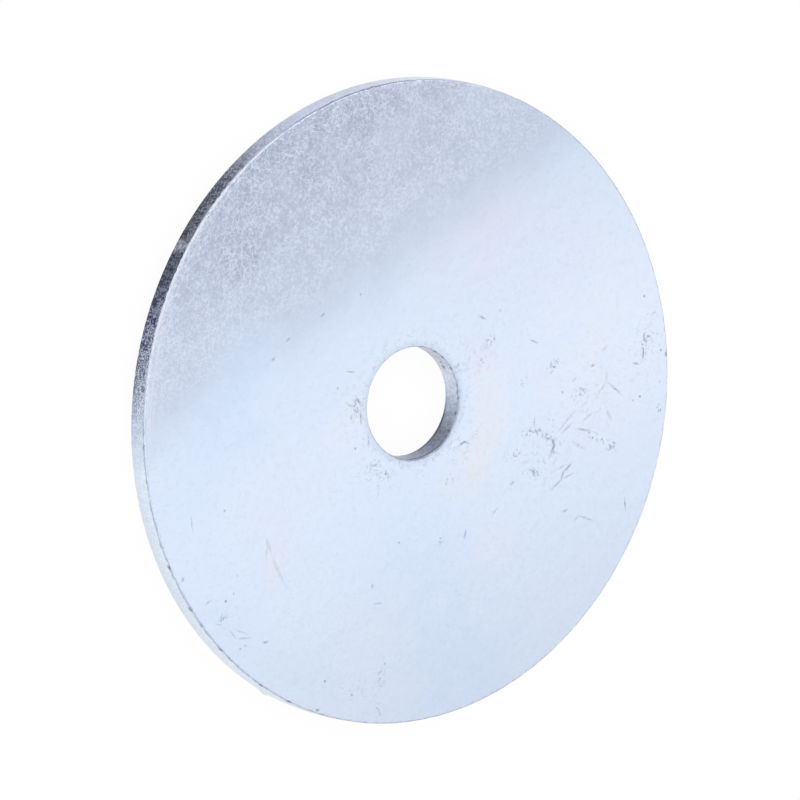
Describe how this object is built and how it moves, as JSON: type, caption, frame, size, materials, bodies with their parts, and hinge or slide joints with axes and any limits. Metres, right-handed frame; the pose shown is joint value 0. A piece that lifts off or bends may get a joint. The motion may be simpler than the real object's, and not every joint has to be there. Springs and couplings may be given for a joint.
{
  "type": "fender washer",
  "caption": "Large flat round washer of zinc plated sheet steel with a small central hole, to spread a bolt's load over thin sheet.",
  "frame": {"origin": "centre of the hole on the underside, the face with the rolled-over edges, which lies on the surface below", "axes": "+Z along the hole, up through the burr side; X and Y lie in the sheet and are equal by symmetry"},
  "size_m": [0.0508, 0.0508, 0.0018],
  "materials": {
    "zinc_plated_steel": "bright zinc electroplate with a pale blue passivate, tumbled and lightly scuffed"
  },
  "bodies": {
    "root": {"washer": "zinc_plated_steel"}
  },
  "joints": []
}
